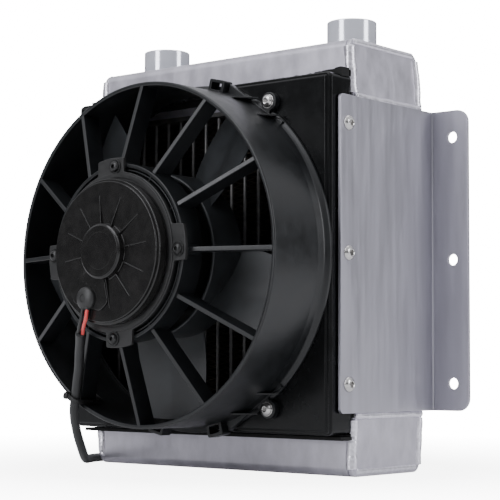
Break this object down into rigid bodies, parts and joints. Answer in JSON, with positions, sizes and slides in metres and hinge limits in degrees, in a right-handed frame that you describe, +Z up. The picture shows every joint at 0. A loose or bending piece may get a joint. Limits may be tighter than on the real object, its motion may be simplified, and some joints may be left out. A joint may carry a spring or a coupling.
{
  "type": "hydraulic oil cooler",
  "caption": "Plate-fin oil cooler with welded tanks, top ports, side mounting brackets and a shrouded electric fan that turns on bearings.",
  "frame": {"origin": "centre of the lower tank's underside, midway through the core's depth", "axes": "+Z up through the ports, +Y from the fan towards the mounting flanges, +X to the right when looking at the fan"},
  "size_m": [0.3994, 0.3155, 0.415],
  "materials": {
    "tank_aluminium": "satin mill finish",
    "core_aluminium": "brazed, dull grey",
    "fin_aluminium": "brazed thin strip",
    "weld_metal": "rippled weld bead",
    "port_aluminium": "turned and polished",
    "bracket_aluminium": "brushed sheet",
    "stainless_screw": "bright stainless",
    "black_oxide_steel": "black oxide",
    "zinc_steel": "zinc plated",
    "shroud_paint": "satin black powder coat on sheet",
    "fan_plastic": "glass-filled nylon",
    "impeller_plastic": "satin black nylon",
    "motor_paint": "black coated steel",
    "cap_plastic": "moulded dark grey",
    "gasket_foam": "closed-cell foam",
    "black_rubber": "satin rubber",
    "magnet_ferrite": "sintered ferrite",
    "board_plastic": "moulded phenolic",
    "brush_carbon": "pressed graphite",
    "lamination_steel": "stacked sheet",
    "winding_copper": "enamelled copper wire",
    "commutator_copper": "machined copper",
    "bearing_steel": "ground steel",
    "cage_brass": "pressed brass",
    "red_insulation": "red insulation",
    "black_insulation": "black insulation",
    "cable_jacket": "dark grey jacket",
    "tie_nylon": "black nylon",
    "connector_plastic": "moulded black nylon",
    "terminal_brass": "plated brass",
    "seal_silicone": "red silicone"
  },
  "bodies": {
    "cooler": {"top_tank_shell": "tank_aluminium", "bottom_tank_shell": "tank_aluminium", "top_tank_end_plates": "tank_aluminium", "bottom_tank_end_plates": "tank_aluminium", "top_header": "core_aluminium", "bottom_header": "core_aluminium", "pass_baffle": "tank_aluminium", "oil_tubes": "core_aluminium", "tube_turbulators": "core_aluminium", "air_fins": "fin_aluminium", "core_side_plates": "core_aluminium", "weld_beads": "weld_metal", "inlet_port": "port_aluminium", "outlet_port": "port_aluminium", "bracket_left": "bracket_aluminium", "bracket_right": "bracket_aluminium", "bracket_screws": "stainless_screw", "rivet_nuts": "black_oxide_steel", "fan_shroud": "shroud_paint", "shroud_gasket": "gasket_foam", "fan_housing": "fan_plastic", "fan_screws": "stainless_screw", "fan_nuts": "zinc_steel", "motor_case": "motor_paint", "motor_magnets": "magnet_ferrite", "motor_cap": "cap_plastic", "cap_gasket": "black_rubber", "motor_screws": "black_oxide_steel", "brush_holder": "board_plastic", "brushes": "brush_carbon", "brush_springs": "stainless_screw", "bearing_outer_rings": "bearing_steel", "cable_gland": "black_rubber", "red_wire": "red_insulation", "black_wire": "black_insulation", "power_cable": "cable_jacket", "cable_tie": "tie_nylon", "connector_body": "connector_plastic", "connector_pins": "terminal_brass", "connector_seal": "seal_silicone"},
    "fan_rotor": {"impeller": "impeller_plastic", "hub_bush": "zinc_steel", "hub_nut": "zinc_steel", "motor_shaft": "bearing_steel", "armature_core": "lamination_steel", "windings": "winding_copper", "commutator": "commutator_copper", "bearing_inner_rings": "bearing_steel"},
    "ball_train": {"bearing_balls": "bearing_steel", "ball_cages": "cage_brass"}
  },
  "joints": [
    {"name": "fan_spin", "type": "hinge", "parent": "cooler", "child": "fan_rotor", "pos_m": [0, -0.15, 0.1955], "axis": [0, -1, 0], "continuous": true},
    {"name": "ball_train_spin", "type": "hinge", "parent": "cooler", "child": "ball_train", "pos_m": [0, -0.15, 0.1955], "axis": [0, -1, 0], "continuous": true}
  ],
  "couplings": [
    {"joint": "ball_train_spin", "follows": "fan_spin", "ratio": 0.4258}
  ]
}
